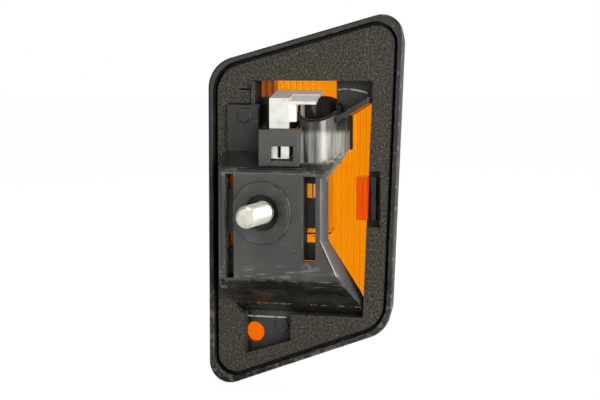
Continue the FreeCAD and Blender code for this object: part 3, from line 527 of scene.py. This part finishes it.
@dataclass(frozen=True)
class AmberLens:
    """Clear amber moulding whose colour deepens with the thickness that light crosses; its guide
    tongues and a patch in the upper left corner are darkened and dulled as painted shade.
    """

    flute_start: float
    flute_pitch: float
    inner_level: float
    vent: Vector
    corner: Vector
    vent_reach: float = 3.4 * MM
    corner_reach: float = 2.6 * MM
    tongues_left: float = -12.5 * MM
    tongues_right: float = -8 * MM
    tint: Colour = (1.0, 0.46, 0.1)
    pale: Colour = (1.0, 0.52, 0.13)
    line: Colour = (0.6, 0.15, 0.01)
    deep: Colour = (1.0, 0.24, 0.02)
    shaded_amber: Colour = (0.75, 0.22, 0.05)
    sheen: Colour = (0.35, 0.13, 0.01)
    clear: float = 0.97
    clear_in_painted_shade: float = 0.2
    absorbed: Colour = (0.985, 0.867, 0.0)
    density: float = 1500.0

    def material(self) -> bpy.types.Material:
        """Builds the finish."""
        graph = Graph("amber_lens")
        clouds = graph.noise(14 * MM, 3.0)
        colour = graph.blend(graph.ramp(clouds, 0.35, 0.7), rgba(self.tint), rgba(self.pale))
        colour = graph.blend(self.lines(graph), colour, rgba(self.line))
        reddened = self.near(graph, self.vent, self.vent_reach)
        colour = graph.blend(reddened, colour, rgba(self.deep))
        # The upper left corner patch and the guide tongues get painted shade: a darker amber and
        # less transmission.
        corner = graph.both(self.near(graph, self.corner, self.corner_reach), 0.9)
        painted_shade_mask = graph.either(self.shaded_tongues(graph), corner)
        colour = graph.blend(painted_shade_mask, colour, rgba(self.shaded_amber))
        rough = graph.ramp(graph.noise(3 * MM, 5.0), 0.3, 0.75, 0.03, 0.1)
        relief = graph.bump(graph.noise(2.5 * MM, 2.0), 0.03 * MM, 0.3)
        clear = graph.ramp(painted_shade_mask, 0.0, 1.0, self.clear, self.clear_in_painted_shade)
        graph.shade(Base_Color=colour, Roughness=rough, Normal=relief, Transmission_Weight=clear,
                    IOR=1.49, Specular_Tint=rgba(self.sheen))
        depth = graph.node("ShaderNodeVolumeAbsorption")
        graph.feed(depth.inputs["Color"], rgba(self.absorbed))
        graph.feed(depth.inputs["Density"], self.density)
        graph.tree.links.new(depth.outputs["Volume"], graph.output.inputs["Volume"])
        return graph.material

    def shaded_tongues(self, graph: Graph) -> Socket:
        """Masks the guide tongues, darkened and dulled as painted shade."""
        across = graph.band(Along.X, self.tongues_left, self.tongues_right, 0.2 * MM)
        behind = graph.ramp(graph.axes[Along.Y], self.inner_level, self.inner_level + MM, 0.85, 0.0)
        return graph.both(across, behind)

    def near(self, graph: Graph, middle: Vector, reach: float) -> Socket:
        """Masks a soft-edged square of the inner face.

        Args:
            graph: Finish that it belongs to.
            middle: Middle of the square.
            reach: Half of its side.

        Returns:
            The mask, 1 in the square.
        """
        across = graph.band(Along.X, middle.x - reach, middle.x + reach, 0.4 * MM)
        upward = graph.band(Along.Z, middle.z - reach, middle.z + reach, 0.4 * MM)
        return graph.both(self.inner_face(graph), graph.both(across, upward))

    def inner_face(self, graph: Graph) -> Socket:
        """Masks the faces that look into the lamp."""
        return graph.ramp(graph.normals[Along.Y], -0.6, -0.2, 1.0, 0.0)

    def lines(self, graph: Graph) -> Socket:
        """Masks the valleys between the inner face's flutes, and fainter lines across them."""
        upright = graph.stripes(Along.X, self.flute_start, self.flute_pitch, 0.3 * MM)
        level = graph.stripes(Along.Z, 0.0, 5.8 * MM, 0.25 * MM)
        lines = graph.either(graph.both(upright, 0.8), graph.both(level, 0.3))
        return graph.both(self.inner_face(graph), lines)


@dataclass(frozen=True)
class GasketFoam:
    """Dark foam sheet with open cells and paler specks of dust."""

    deep: Colour = (0.009, 0.008, 0.007)
    skin: Colour = (0.084, 0.072, 0.055)
    speck: Colour = (0.2, 0.175, 0.14)

    def material(self) -> bpy.types.Material:
        """Builds the finish."""
        graph = Graph("gasket_foam")
        cells = graph.cells(0.8 * MM)
        grain = graph.noise(0.5 * MM, 5.0)
        skin = graph.blend(graph.ramp(grain, 0.35, 0.65), rgba(self.deep), rgba(self.skin))
        dust = graph.both(graph.ramp(graph.noise(0.7 * MM, 6.0), 0.6, 0.72), 0.5)
        colour = graph.blend(dust, skin, rgba(self.speck))
        pores = graph.bump(graph.ramp(cells, 0.1, 0.7), 0.25 * MM, 0.8)
        relief = graph.bump(grain, 0.15 * MM, 0.7, pores)
        graph.shade(Base_Color=colour, Roughness=graph.ramp(grain, 0.3, 0.7, 0.8, 1.0),
                    Normal=relief)
        return graph.material


@dataclass(frozen=True)
class PlatedMetal:
    """Bright metal with faint streaks from drawing and dull, slightly darker patches."""

    name: str
    bright: Colour
    dull: Colour
    smooth: float
    rough: float
    streak: Colour = (1.0, 1.0, 8.0)
    metal: float = 1.0

    def material(self) -> bpy.types.Material:
        """Builds the finish."""
        graph = Graph(self.name)
        patches = graph.noise(2.4 * MM, 5.0)
        lines = graph.noise(1.2 * MM, 5.0, self.streak)
        share = graph.ramp(patches, 0.45, 0.75)
        colour = graph.blend(share, rgba(self.bright), rgba(self.dull))
        rough = graph.ramp(graph.either(patches, lines), 0.35, 0.75, self.smooth, self.rough)
        relief = graph.bump(lines, 0.01 * MM, 0.15)
        graph.shade(Base_Color=colour, Roughness=rough, Normal=relief, Metallic=self.metal)
        return graph.material


@dataclass(frozen=True)
class ClearGlass:
    """Clear blown glass with a trace of uneven thickness."""

    tint: Colour = (0.97, 0.98, 0.98)
    shade: Colour = (0.93, 0.95, 0.95)

    def material(self) -> bpy.types.Material:
        """Builds the finish."""
        graph = Graph("bulb_glass")
        waves = graph.noise(3 * MM, 2.0)
        colour = graph.blend(graph.ramp(waves, 0.4, 0.7), rgba(self.tint), rgba(self.shade))
        graph.shade(Base_Color=colour, Roughness=graph.ramp(waves, 0.3, 0.7, 0.0, 0.03),
                    Normal=graph.bump(waves, 0.05 * MM, 0.2), Transmission_Weight=1.0, IOR=1.5)
        return graph.material


@dataclass(frozen=True)
class FusedGlass:
    """Black glass that fills the bulb's cap, pitted by bubbles."""

    black: Colour = (0.006, 0.006, 0.008)
    pale: Colour = (0.03, 0.028, 0.03)

    def material(self) -> bpy.types.Material:
        """Builds the finish."""
        graph = Graph("fused_glass")
        bubbles = graph.cells(0.6 * MM)
        colour = graph.blend(graph.ramp(bubbles, 0.1, 0.5), rgba(self.pale), rgba(self.black))
        graph.shade(Base_Color=colour, Roughness=graph.ramp(bubbles, 0.1, 0.6, 0.3, 0.12),
                    Normal=graph.bump(graph.ramp(bubbles, 0.0, 0.25), 0.06 * MM, 0.6))
        return graph.material


def finished(name: str, mesh: bmesh.types.BMesh, material: bpy.types.Material,
             stands_for: str | None) -> bpy.types.Object:
    """Turns a bmesh into a piece of the lamp.

    Args:
        name: Name of the piece.
        mesh: Its shape, in place.
        material: Its finish.
        stands_for: Node that it replaces, if it replaces one.

    Returns:
        The piece, riding on the lamp.
    """
    data = bpy.data.meshes.new(name)
    mesh.to_mesh(data)
    mesh.free()
    data.materials.append(material)
    piece = bpy.data.objects.new(name, data)
    bpy.context.scene.collection.objects.link(piece)
    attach(piece, ROOT_BODY)
    if stands_for is not None:
        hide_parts(stands_for)
    return piece


def round_section(centre: Vector, across: Vector, upward: Vector, radius: float,
                  sides: int) -> list[Vector]:
    """Gives the points of a round section.

    Args:
        centre: Its middle.
        across: First direction in its plane, of length 1.
        upward: Second direction, square to the first.
        radius: Its radius.
        sides: Number of points.

    Returns:
        The points in order.
    """
    angles = [2 * math.pi * side / sides for side in range(sides)]
    return [centre + (across * math.cos(angle) + upward * math.sin(angle)) * radius
            for angle in angles]


def wind(mesh: bmesh.types.BMesh, profile: list[Vector], closed: bool, axis: Vector,
         centre: Vector, angle: float, steps: int, rise: float = 0.0) -> None:
    """Winds a profile round an axis.

    Args:
        mesh: Mesh that takes the shape.
        profile: Points of the profile, in place at the start.
        closed: Whether the profile's last point joins its first.
        axis: Direction of the winding.
        centre: Point on the axis.
        angle: Angle of the whole winding.
        steps: Steps of the whole winding.
        rise: Way along the axis from start to end.
    """
    points = [mesh.verts.new(point) for point in profile]
    pairs = list(zip(points, points[1:]))
    if closed:
        pairs.append((points[-1], points[0]))
    edges = [mesh.edges.new(pair) for pair in pairs]
    bmesh.ops.spin(mesh, geom=points + edges, cent=centre, axis=axis, dvec=axis * (rise / steps),
                   angle=angle, steps=steps, use_merge=False)


def close_ends(mesh: bmesh.types.BMesh) -> None:
    """Caps the open ends of a mesh."""
    rims = [edge for edge in mesh.edges if edge.is_boundary]
    bmesh.ops.holes_fill(mesh, edges=rims)


def smooth_faces(mesh: bmesh.types.BMesh, sharp: float) -> None:
    """Shades a mesh smooth except at edges steeper than an angle.

    Args:
        mesh: Mesh to shade.
        sharp: Angle between faces, in degrees, above which an edge stays sharp.
    """
    for face in mesh.faces:
        face.smooth = True
    for edge in mesh.edges:
        edge.smooth = edge.calc_face_angle(0.0) < math.radians(sharp)


@dataclass
class StudThread:
    """Fixing stud with its rolled thread, thinner shank and captive T head."""

    radius: float = 3.0 * MM
    pitch: float = 1.0 * MM
    thread_depth: float = 0.55 * MM
    crest_share: float = 0.16
    root_share: float = 0.2
    shank_radius: float = 2.7 * MM
    thread_start: float = 1.0 * MM
    head_thickness: float = 3.0 * MM
    head_bevel: float = 0.35 * MM
    tip_chamfer: float = 0.8 * MM
    steps: int = 48
    sharp: float = 32.0

    def __post_init__(self) -> None:
        """Reads the stud's reach from the frame."""
        self.low, self.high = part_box("fixing_stud")

    def thread(self, mesh: bmesh.types.BMesh) -> None:
        """Winds the thread, trims it at the tip and the shank, and chamfers its tip."""
        crest = self.radius
        root = crest - self.thread_depth
        flank = (1.0 - self.crest_share - self.root_share) / 2
        marks = [(root, 0.0), (root, self.root_share), (crest, self.root_share + flank),
                 (crest, self.root_share + flank + self.crest_share), (root, 1.0)]
        start = self.low.y - 2 * self.pitch
        profile = [Vector((radius, start + share * self.pitch, 0)) for radius, share in marks]
        length = self.thread_start - start
        turns = math.ceil(length / self.pitch) + 2
        wind(mesh, profile, False, Vector((0, 1, 0)), Vector((0, start, 0)), 2 * math.pi * turns,
             self.steps * turns, self.pitch * turns)
        bmesh.ops.remove_doubles(mesh, verts=mesh.verts, dist=self.pitch / 500)
        for level, way in ((self.low.y, -1), (self.thread_start, 1)):
            everything = mesh.verts[:] + mesh.edges[:] + mesh.faces[:]
            bmesh.ops.bisect_plane(mesh, geom=everything, plane_co=(0, level, 0),
                                   plane_no=(0, way, 0), clear_outer=True)
        close_ends(mesh)
        for vert in mesh.verts:
            reach = math.hypot(vert.co.x, vert.co.z)
            limit = crest - self.tip_chamfer + (vert.co.y - self.low.y)
            if reach > limit:
                vert.co.x *= limit / reach
                vert.co.z *= limit / reach

    def shank(self, mesh: bmesh.types.BMesh) -> None:
        """Adds the plain shank between the thread and the head."""
        front = self.high.y - self.head_thickness / 2
        length = front - self.thread_start + self.pitch
        middle = Matrix.Translation((0, front - length / 2, 0))
        place = middle @ Matrix.Rotation(math.pi / 2, 4, "X")
        bmesh.ops.create_cone(mesh, cap_ends=True, segments=self.steps, depth=length,
                              radius1=self.shank_radius, radius2=self.shank_radius, matrix=place)

    def head(self, mesh: bmesh.types.BMesh) -> None:
        """Adds the pressed head that slides in the bracket's channel."""
        middle = Vector((0, self.high.y - self.head_thickness / 2, 0))
        size = (self.high.x - self.low.x, self.head_thickness, self.high.z - self.low.z)
        place = Matrix.Translation(middle) @ Matrix.Diagonal((*size, 1.0))
        block = bmesh.ops.create_cube(mesh, size=1.0, matrix=place)
        edges = {edge for vert in block["verts"] for edge in vert.link_edges}
        bmesh.ops.bevel(mesh, geom=list(edges), offset=self.head_bevel, affect="EDGES", segments=3,
                        profile=0.5, material=-1)

    def build(self, finish: PlatedMetal) -> bpy.types.Object:
        """Builds the stud.

        Args:
            finish: Its plating.

        Returns:
            The piece.
        """
        mesh = bmesh.new()
        self.thread(mesh)
        self.shank(mesh)
        self.head(mesh)
        bmesh.ops.recalc_face_normals(mesh, faces=mesh.faces)
        smooth_faces(mesh, self.sharp)
        return finished("stud_with_thread", mesh, finish.material(), "fixing_stud")


@dataclass
class FilamentCoil:
    """Coiled filament between the bulb's leads."""

    wire_radius: float = 0.045 * MM
    turns: int = 11
    steps: int = 20
    wire_sides: int = 8
    sharp: float = 60.0

    def build(self, finish: PlatedMetal) -> bpy.types.Object:
        """Builds the coil.

        Args:
            finish: Its metal.

        Returns:
            The piece.
        """
        low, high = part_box("bulb_filament")
        centre = (low + high) / 2
        reach = (high.z - low.z) / 2 - self.wire_radius
        length = high.x - low.x - 2 * self.wire_radius
        start = Vector((low.x + self.wire_radius, centre.y, centre.z))
        along, upward = Vector((1, 0, 0)), Vector((0, 0, 1))
        profile = round_section(start + upward * reach, along, upward, self.wire_radius,
                                self.wire_sides)
        mesh = bmesh.new()
        wind(mesh, profile, True, along, start, 2 * math.pi * self.turns, self.steps * self.turns,
             length)
        close_ends(mesh)
        bmesh.ops.recalc_face_normals(mesh, faces=mesh.faces)
        smooth_faces(mesh, self.sharp)
        return finished("filament_coil", mesh, finish.material(), "bulb_filament")


@dataclass
class CornerBead:
    """Moulded bead that stiffens the web in the window's upper right corner; its pale finish is a
    painted highlight.
    """

    middle_x: float = 20.0 * MM
    middle_z: float = 14.3 * MM
    bend: float = 18.9 * MM
    left: float = 17.8 * MM
    right: float = 26.2 * MM
    thickness: float = 0.28 * MM
    sides: int = 16
    steps: int = 28
    sharp: float = 60.0

    def build(self, finish: PaintedHighlightPlastic) -> bpy.types.Object:
        """Builds the bead on the tray's floor, where the gasket lies.

        Args:
            finish: Its pale plastic, a painted highlight.

        Returns:
            The piece.
        """
        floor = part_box("gasket")[1].y
        first = math.asin((self.left - self.middle_x) / self.bend)
        last = math.asin((self.right - self.middle_x) / self.bend)
        centre = Vector((self.middle_x, floor, self.middle_z))
        outward = Vector((math.sin(first), 0, math.cos(first)))
        axis = Vector((0, 1, 0))
        profile = round_section(centre + outward * self.bend, outward, axis, self.thickness,
                                self.sides)
        mesh = bmesh.new()
        wind(mesh, profile, True, axis, centre, last - first, self.steps)
        close_ends(mesh)
        bmesh.ops.recalc_face_normals(mesh, faces=mesh.faces)
        smooth_faces(mesh, self.sharp)
        return finished("corner_bead", mesh, finish.material(), None)


@dataclass
class FootBead:
    """Straight moulded bead on the tray's floor, along the foot of the bracket; its pale finish is
    a painted highlight.
    """

    left: float = -8.2 * MM
    right: float = 3.2 * MM
    height: float = -30.3 * MM
    thickness: float = 0.28 * MM
    sides: int = 16
    sharp: float = 60.0

    def build(self, finish: PaintedHighlightPlastic) -> bpy.types.Object:
        """Builds the bead in the gasket's corner cut-out.

        Args:
            finish: Its pale plastic, a painted highlight.

        Returns:
            The piece.
        """
        middle = Vector(((self.left + self.right) / 2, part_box("gasket")[1].y, self.height))
        place = Matrix.Translation(middle) @ Matrix.Rotation(math.pi / 2, 4, "Y")
        mesh = bmesh.new()
        bmesh.ops.create_cone(mesh, cap_ends=True, segments=self.sides, radius1=self.thickness,
                              radius2=self.thickness, depth=self.right - self.left, matrix=place)
        smooth_faces(mesh, self.sharp)
        return finished("foot_bead", mesh, finish.material(), None)


@dataclass
class LampNodes:
    """The frame's own solids, dressed as they are."""

    zinc: PlatedMetal
    tungsten: PlatedMetal
    lip_proud: float = 1.0 * MM
    panel_level: float = 8.5 * MM
    plate_level: float = 0.4 * MM
    plate_bottom: float = -19.6 * MM
    plate_top: float = 11.5 * MM
    socket_reach: float = 6.4 * MM
    flute_pitch: float = 1.75 * MM
    vent: Vector = field(default_factory=lambda: Vector((-7.8 * MM, 0, -35.1 * MM)))
    corner: Vector = field(default_factory=lambda: Vector((-4.2 * MM, 0, 33.4 * MM)))

    def finishes(self) -> dict[str, bpy.types.Material]:
        """Gives each node its finish.

        Returns:
            Materials by node.
        """
        gasket_low, gasket_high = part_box("gasket")
        cap_low, cap_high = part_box("bulb_cap")
        rim_low, rim_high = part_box("housing")
        flutes = math.floor((rim_high.x - rim_low.x) / self.flute_pitch)
        pitch = (rim_high.x - rim_low.x) / flutes
        socket = Vector((*((cap_low + cap_high) / 2).xy, cap_high.z))
        housing = HousingPlastic(gasket_low.y - self.lip_proud, self.panel_level, self.plate_level,
                                 self.plate_bottom, self.plate_top, socket, self.socket_reach)
        lens = AmberLens(rim_low.x + pitch / 2, pitch, gasket_high.y, self.vent, self.corner)
        tinned = PlatedMetal("tinned_strip", (0.88, 0.88, 0.84), (0.76, 0.76, 0.72), 0.36, 0.5,
                             metal=0.7)
        strip = tinned.material()
        nickel = PlatedMetal("nickel_cap", (0.72, 0.7, 0.66), (0.55, 0.53, 0.48), 0.14, 0.3)
        solder = PlatedMetal("solder", (0.6, 0.6, 0.6), (0.4, 0.4, 0.4), 0.35, 0.6)
        glass = ClearGlass().material()
        return {
            "housing": housing.material(),
            "lens": lens.material(),
            "gasket": GasketFoam().material(),
            "live_contact": strip,
            "earth_contact": strip,
            "bulb_cap": nickel.material(),
            "bulb_glass": glass,
            "bulb_stem": glass,
            "bulb_leads": self.tungsten.material(),
            "bulb_insulator": FusedGlass().material(),
            "bulb_tip": solder.material(),
            "fixing_stud": self.zinc.material(),
            "bulb_filament": self.tungsten.material(),
        }

    def dress(self) -> None:
        """Puts the finishes on the nodes."""
        for name, material in self.finishes().items():
            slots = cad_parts[name].data.materials
            slots.clear()
            slots.append(material)
            LOG.info("dressed %s with %s", name, material.name)


@dataclass(frozen=True)
class SoftLamp:
    """Soft rectangular lamp: its bearing in degrees, distance, face and power in watts."""

    name: str
    bearing: tuple[float, float]
    away: float
    face: tuple[float, float]
    power: float


@dataclass
class Studio:
    """Camera at the photograph's angle, pale floor, white surroundings and soft lamps."""

    azimuth: float = 17.0
    elevation: float = 5.0
    distance: float = 450 * MM
    focal: float = 98.55
    sensor: float = 36.0
    target: Vector = Vector((8.0 * MM, 10.0 * MM, 2.9 * MM))
    floor_gap: float = 0.5 * MM
    floor_reach: float = 3.0
    near_clip: float = 10 * MM
    pale: Colour = (0.86, 0.86, 0.86)
    floor_rough: float = 0.9
    floor_white: float = 0.94
    floor_glow: float = 1.03
    ambient: float = 0.32
    lamp_tint: Colour = (1.0, 0.985, 0.93)
    lamps: tuple[SoftLamp, ...] = (
        SoftLamp("key", (44.0, 11.0), 0.75, (0.36, 0.36), 3.6),
        SoftLamp("plate_fill", (-20.0, 12.0), 0.8, (0.3, 0.4), 0.55),
        SoftLamp("overhead", (20.0, 78.0), 0.6, (0.3, 0.3), 1.0),
        SoftLamp("right_wall", (100.0, 18.0), 0.7, (0.4, 0.4), 1.6),
        SoftLamp("lens_side", (170.0, 32.0), 0.8, (0.6, 0.6), 2.5))

    def ray_mask(self, tree: bpy.types.NodeTree) -> Socket:
        """Gives 1 for rays that see the studio as plain white."""
        path = tree.nodes.new("ShaderNodeLightPath")
        joined = tree.nodes.new("ShaderNodeMath")
        joined.operation = "MAXIMUM"
        for socket, sort in zip(joined.inputs, RaySort):
            tree.links.new(path.outputs[sort.value], socket)
        return joined.outputs[0]

    def camera(self) -> None:
        """Places the camera."""
        away = self.toward(self.azimuth, self.elevation)
        data = bpy.data.cameras.new("rear_view")
        data.sensor_width = self.sensor
        data.lens = self.focal
        data.clip_start = self.near_clip
        camera = bpy.data.objects.new("rear_view", data)
        camera.location = self.target + away * self.distance
        camera.rotation_euler = (-away).to_track_quat("-Z", "Y").to_euler()
        bpy.context.scene.collection.objects.link(camera)
        bpy.context.scene.camera = camera

    def floor(self) -> None:
        """Lays a pale floor that looks white and keeps a soft shadow."""
        low = Vector(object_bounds()[0])
        mesh = bmesh.new()
        place = Matrix.Translation((0, 0, low.z - self.floor_gap))
        bmesh.ops.create_grid(mesh, x_segments=1, y_segments=1, size=self.floor_reach, matrix=place)
        data = bpy.data.meshes.new("floor")
        mesh.to_mesh(data)
        mesh.free()
        material = bpy.data.materials.new("pale_floor")
        material.use_nodes = True
        tree = material.node_tree
        matt = tree.nodes["Principled BSDF"]
        matt.inputs["Base Color"].default_value = rgba(self.pale)
        matt.inputs["Roughness"].default_value = self.floor_rough
        white = tree.nodes.new("ShaderNodeEmission")
        white.inputs["Strength"].default_value = self.floor_glow
        share = tree.nodes.new("ShaderNodeMath")
        share.operation = "MULTIPLY"
        share.inputs[1].default_value = self.floor_white
        tree.links.new(self.ray_mask(tree), share.inputs[0])
        mixed = tree.nodes.new("ShaderNodeMixShader")
        tree.links.new(share.outputs[0], mixed.inputs[0])
        tree.links.new(matt.outputs[0], mixed.inputs[1])
        tree.links.new(white.outputs[0], mixed.inputs[2])
        tree.links.new(mixed.outputs[0], tree.nodes["Material Output"].inputs["Surface"])
        data.materials.append(material)
        floor = bpy.data.objects.new("floor", data)
        bpy.context.scene.collection.objects.link(floor)
        floor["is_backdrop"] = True

    def surroundings(self) -> None:
        """Sets white surroundings that light the lamp only gently."""
        world = bpy.data.worlds.new("studio")
        world.use_nodes = True
        tree = world.node_tree
        back = tree.nodes["Background"]
        back.inputs["Color"].default_value = (1, 1, 1, 1)
        level = tree.nodes.new("ShaderNodeMapRange")
        level.inputs["To Min"].default_value = self.ambient
        tree.links.new(self.ray_mask(tree), level.inputs["Value"])
        tree.links.new(level.outputs["Result"], back.inputs["Strength"])
        bpy.context.scene.world = world

    def toward(self, azimuth: float, elevation: float) -> Vector:
        """Gives the direction from the lamp towards a bearing round it.

        Args:
            azimuth: Bearing in degrees, 0 behind the lamp and 90 to its right.
            elevation: Angle above the horizon in degrees.

        Returns:
            The direction, of length 1.
        """
        turn = math.radians(azimuth)
        tilt = math.radians(elevation)
        level = math.cos(tilt)
        return Vector((math.sin(turn) * level, -math.cos(turn) * level, math.sin(tilt)))

    def hang(self, lamp: SoftLamp) -> None:
        """Hangs a lamp that faces the target."""
        data = bpy.data.lights.new(lamp.name, "AREA")
        data.shape = "RECTANGLE"
        data.size, data.size_y = lamp.face
        data.energy = lamp.power
        data.color = self.lamp_tint
        place = self.target + self.toward(*lamp.bearing) * lamp.away
        light = bpy.data.objects.new(lamp.name, data)
        light.location = place
        light.rotation_euler = (self.target - place).to_track_quat("-Z", "Y").to_euler()
        bpy.context.scene.collection.objects.link(light)

    def build(self) -> None:
        """Sets up the whole studio."""
        bpy.context.scene.view_settings.view_transform = "Standard"
        self.camera()
        self.floor()
        self.surroundings()
        for lamp in self.lamps:
            self.hang(lamp)
        LOG.info("studio is set")


def main() -> None:
    """Builds the lamp's pieces, dresses the frame and sets the studio."""
    logging.basicConfig(level=logging.INFO)
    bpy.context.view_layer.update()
    zinc = PlatedMetal("zinc_plate", (0.82, 0.81, 0.74), (0.62, 0.61, 0.54), 0.28, 0.5, (1, 6, 1))
    tungsten = PlatedMetal("tungsten_wire", (0.5, 0.5, 0.5), (0.32, 0.32, 0.34), 0.3, 0.5)
    LampNodes(zinc, tungsten).dress()
    pieces = (StudThread().build(zinc), FilamentCoil().build(tungsten),
              CornerBead().build(PaintedHighlightPlastic()), FootBead().build(PaintedHighlightPlastic()))
    for piece in pieces:
        LOG.info("built %s with %d faces", piece.name, len(piece.data.polygons))
    Studio().build()


if __name__ == "__main__":
    main()
